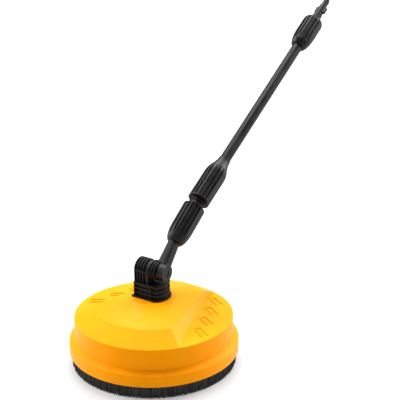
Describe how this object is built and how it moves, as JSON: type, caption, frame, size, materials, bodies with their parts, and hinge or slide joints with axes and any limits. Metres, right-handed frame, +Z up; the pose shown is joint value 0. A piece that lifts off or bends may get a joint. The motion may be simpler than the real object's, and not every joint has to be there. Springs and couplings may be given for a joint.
{
  "type": "surface cleaner",
  "caption": "Pressure-washer surface cleaner: a round brush-skirted deck with a spinning spray bar under it and a tilting ribbed lance with a bayonet inlet.",
  "frame": {"origin": "on the deck's axis, at the floor that the bristles stand on", "axes": "+Z up, +Y towards the user, the way the lance leans, +X along the tilt pin, with the elbow barrel on the +X side"},
  "size_m": [0.28, 0.7088, 0.5306],
  "materials": {
    "deck_yellow": "satin moulded, fine texture",
    "black_plastic": "satin moulded, fine texture",
    "bristle": "fine nylon bristles",
    "rubber": "plain",
    "steel": "brushed",
    "brass": "machined"
  },
  "bodies": {
    "root": {"deck_shell": "deck_yellow", "brush_ring": "black_plastic", "brush_bristles": "bristle", "brush_screws": "steel", "swivel_base": "black_plastic", "base_gasket": "rubber", "clamp_nut": "black_plastic", "base_screws": "steel", "spindle": "brass", "retaining_ring": "steel", "upper_bearing_inner_race": "steel", "upper_bearing_balls": "steel", "lower_bearing_inner_race": "steel", "lower_bearing_balls": "steel", "tilt_pin": "brass", "tilt_pin_rings": "rubber", "thrust_washer": "steel", "tilt_screw": "steel"},
    "rotor": {"upper_bearing_outer_race": "steel", "lower_bearing_outer_race": "steel", "rotor_hub": "black_plastic", "shaft_seal": "rubber", "hub_cap": "black_plastic", "hub_cap_screws": "steel", "spray_arm_1": "steel", "nozzle_holder_1": "brass", "spray_nozzle_1": "steel", "spray_arm_2": "steel", "nozzle_holder_2": "brass", "spray_nozzle_2": "steel"},
    "arm": {"elbow_arm": "black_plastic", "barrel_cap": "black_plastic", "coupling_neck": "black_plastic", "coupling_ring": "rubber"},
    "lance": {"lance_collar": "black_plastic", "lance_tube": "black_plastic", "pressure_tube": "steel", "lance_grip": "black_plastic", "grip_end_ring": "black_plastic", "inlet_nipple": "black_plastic", "nipple_ring": "rubber", "inlet_filter": "steel"}
  },
  "joints": [
    {"name": "rotor_spin", "type": "hinge", "parent": "root", "child": "rotor", "pos_m": [0, 0, 0.048], "axis": [0, 0, 1], "continuous": true},
    {"name": "arm_tilt", "type": "hinge", "parent": "root", "child": "arm", "pos_m": [0, 0, 0.1588], "axis": [1, 0, 0], "range_deg": [-32, 45]},
    {"name": "lance_twist", "type": "hinge", "parent": "arm", "child": "lance", "pos_m": [0.009, 0.11184, 0.24066], "axis": [0, 0.8462, 0.5329], "range_deg": [0, 90]}
  ]
}
